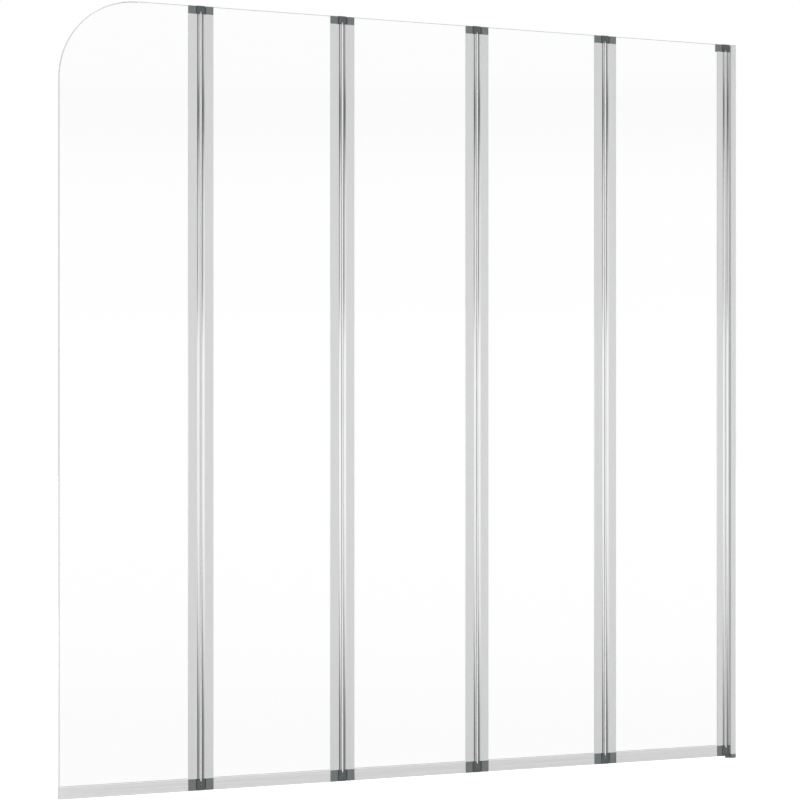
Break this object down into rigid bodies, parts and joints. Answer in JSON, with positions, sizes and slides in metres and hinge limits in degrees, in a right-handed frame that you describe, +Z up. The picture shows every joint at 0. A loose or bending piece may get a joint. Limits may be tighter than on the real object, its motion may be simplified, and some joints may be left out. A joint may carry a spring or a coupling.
{
  "type": "folding bath screen",
  "caption": "Folding bath screen: narrow clear glass leaves in a row, joined by full-height double-barrel hinges and hung from a slim wall channel, the free leaf with a rounded upper corner.",
  "frame": {"origin": "centre of the wall channel's back face, which lies flat on the wall, at half the channel's length", "axes": "+Z up; +X into the wall, so the leaves lie in line along -X; -Y towards the outer side of the bath, +Y towards the side with the clamp screws"},
  "size_m": [1.1701, 0.0149, 1.2039],
  "materials": {
    "channel_aluminium": "polished and anodised, bright silver",
    "bar_aluminium": "polished and anodised, bright silver",
    "clear_glass": "clear toughened glass, faintly green at its edges",
    "cap_plastic": "fine satin, dark grey",
    "link_plastic": "fine satin, dark grey",
    "foot_plastic": "fine satin, dark grey",
    "cover_plastic": "metallised silver plastic",
    "seal_pvc": "soft translucent plastic, satin",
    "strip_pvc": "soft translucent plastic, satin",
    "gasket_pvc": "soft translucent plastic, satin",
    "pin_steel": "ground stainless steel",
    "screw_steel": "stainless steel",
    "bush_plastic": "black low-friction plastic"
  },
  "bodies": {
    "wall_frame": {"wall_channel": "channel_aluminium", "adjusting_profile": "channel_aluminium", "wall_bushes": "bush_plastic", "clamp_screws": "screw_steel", "clamp_screw_covers": "cover_plastic", "channel_foot": "foot_plastic"},
    "hinge_1_link": {"hinge_1_top_link": "link_plastic", "hinge_1_bottom_link": "link_plastic", "hinge_1_pins": "pin_steel", "hinge_1_strip": "strip_pvc"},
    "leaf_1": {"leaf_1_glass": "clear_glass", "leaf_1_wall_side_bar": "bar_aluminium", "leaf_1_free_side_bar": "bar_aluminium", "leaf_1_gaskets": "gasket_pvc", "leaf_1_end_caps": "cap_plastic", "leaf_1_bushes": "bush_plastic", "leaf_1_lower_seal": "seal_pvc"},
    "hinge_2_link": {"hinge_2_top_link": "link_plastic", "hinge_2_bottom_link": "link_plastic", "hinge_2_pins": "pin_steel", "hinge_2_strip": "strip_pvc"},
    "leaf_2": {"leaf_2_glass": "clear_glass", "leaf_2_wall_side_bar": "bar_aluminium", "leaf_2_free_side_bar": "bar_aluminium", "leaf_2_gaskets": "gasket_pvc", "leaf_2_end_caps": "cap_plastic", "leaf_2_bushes": "bush_plastic", "leaf_2_lower_seal": "seal_pvc"},
    "hinge_3_link": {"hinge_3_top_link": "link_plastic", "hinge_3_bottom_link": "link_plastic", "hinge_3_pins": "pin_steel", "hinge_3_strip": "strip_pvc"},
    "leaf_3": {"leaf_3_glass": "clear_glass", "leaf_3_wall_side_bar": "bar_aluminium", "leaf_3_free_side_bar": "bar_aluminium", "leaf_3_gaskets": "gasket_pvc", "leaf_3_end_caps": "cap_plastic", "leaf_3_bushes": "bush_plastic", "leaf_3_lower_seal": "seal_pvc"},
    "hinge_4_link": {"hinge_4_top_link": "link_plastic", "hinge_4_bottom_link": "link_plastic", "hinge_4_pins": "pin_steel", "hinge_4_strip": "strip_pvc"},
    "leaf_4": {"leaf_4_glass": "clear_glass", "leaf_4_wall_side_bar": "bar_aluminium", "leaf_4_free_side_bar": "bar_aluminium", "leaf_4_gaskets": "gasket_pvc", "leaf_4_end_caps": "cap_plastic", "leaf_4_bushes": "bush_plastic", "leaf_4_lower_seal": "seal_pvc"},
    "hinge_5_link": {"hinge_5_top_link": "link_plastic", "hinge_5_bottom_link": "link_plastic", "hinge_5_pins": "pin_steel", "hinge_5_strip": "strip_pvc"},
    "leaf_5": {"leaf_5_glass": "clear_glass", "leaf_5_wall_side_bar": "bar_aluminium", "leaf_5_gaskets": "gasket_pvc", "leaf_5_end_caps": "cap_plastic", "leaf_5_bushes": "bush_plastic", "leaf_5_lower_seal": "seal_pvc"}
  },
  "joints": [
    {"name": "hinge_1_link_turn", "type": "hinge", "parent": "wall_frame", "child": "hinge_1_link", "pos_m": [-0.0137, 0, 0], "axis": [0, 0, 1], "range_deg": [-45, 45]},
    {"name": "hinge_1_leaf_turn", "type": "hinge", "parent": "hinge_1_link", "child": "leaf_1", "pos_m": [-0.0217, 0, 0], "axis": [0, 0, 1], "range_deg": [-45, 45]},
    {"name": "hinge_2_link_turn", "type": "hinge", "parent": "leaf_1", "child": "hinge_2_link", "pos_m": [-0.2439, 0, 0], "axis": [0, 0, -1], "range_deg": [-89, 89]},
    {"name": "hinge_2_leaf_turn", "type": "hinge", "parent": "hinge_2_link", "child": "leaf_2", "pos_m": [-0.2519, 0, 0], "axis": [0, 0, -1], "range_deg": [-89, 89]},
    {"name": "hinge_3_link_turn", "type": "hinge", "parent": "leaf_2", "child": "hinge_3_link", "pos_m": [-0.4772, 0, 0], "axis": [0, 0, 1], "range_deg": [-89, 89]},
    {"name": "hinge_3_leaf_turn", "type": "hinge", "parent": "hinge_3_link", "child": "leaf_3", "pos_m": [-0.4852, 0, 0], "axis": [0, 0, 1], "range_deg": [-89, 89]},
    {"name": "hinge_4_link_turn", "type": "hinge", "parent": "leaf_3", "child": "hinge_4_link", "pos_m": [-0.7105, 0, 0], "axis": [0, 0, -1], "range_deg": [-89, 89]},
    {"name": "hinge_4_leaf_turn", "type": "hinge", "parent": "hinge_4_link", "child": "leaf_4", "pos_m": [-0.7185, 0, 0], "axis": [0, 0, -1], "range_deg": [-89, 89]},
    {"name": "hinge_5_link_turn", "type": "hinge", "parent": "leaf_4", "child": "hinge_5_link", "pos_m": [-0.9438, 0, 0], "axis": [0, 0, 1], "range_deg": [-89, 89]},
    {"name": "hinge_5_leaf_turn", "type": "hinge", "parent": "hinge_5_link", "child": "leaf_5", "pos_m": [-0.9518, 0, 0], "axis": [0, 0, 1], "range_deg": [-89, 89]}
  ]
}
